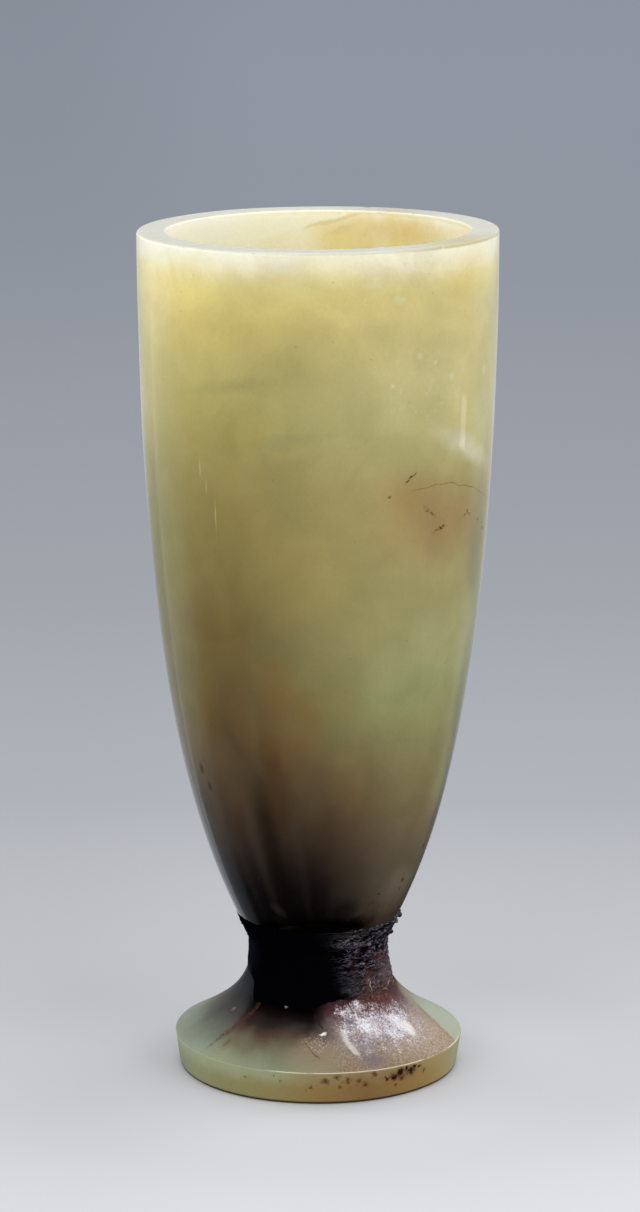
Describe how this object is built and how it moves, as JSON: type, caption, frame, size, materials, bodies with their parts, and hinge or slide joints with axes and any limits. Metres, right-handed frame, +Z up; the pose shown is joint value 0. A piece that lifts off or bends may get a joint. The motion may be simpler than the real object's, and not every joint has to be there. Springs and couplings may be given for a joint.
{
  "type": "footed cup",
  "caption": "Tall plain drinking cup of translucent stone on a waisted round foot, the two stones pegged and bonded with dark lacquer.",
  "frame": {"origin": "middle of the flat face that the foot stands on", "axes": "+Z up along the cup's axis, -Y towards the viewer of the picture"},
  "size_m": [0.05, 0.05, 0.12],
  "materials": {
    "beaker_stone": "polished translucent yellow-green stone, pale at the rim and brown near the seat",
    "foot_stone": "polished grey-green stone with brown stains and a silvery film on one flank",
    "lacquer": "hardened raw lacquer, black-brown, wrinkled and partly worn",
    "bamboo": "split bamboo, unpolished"
  },
  "bodies": {
    "root": {"beaker": "beaker_stone", "foot": "foot_stone", "joint_peg": "bamboo", "lacquer_bed": "lacquer", "lacquer_bead": "lacquer", "neck_lacquer": "lacquer"}
  },
  "joints": []
}
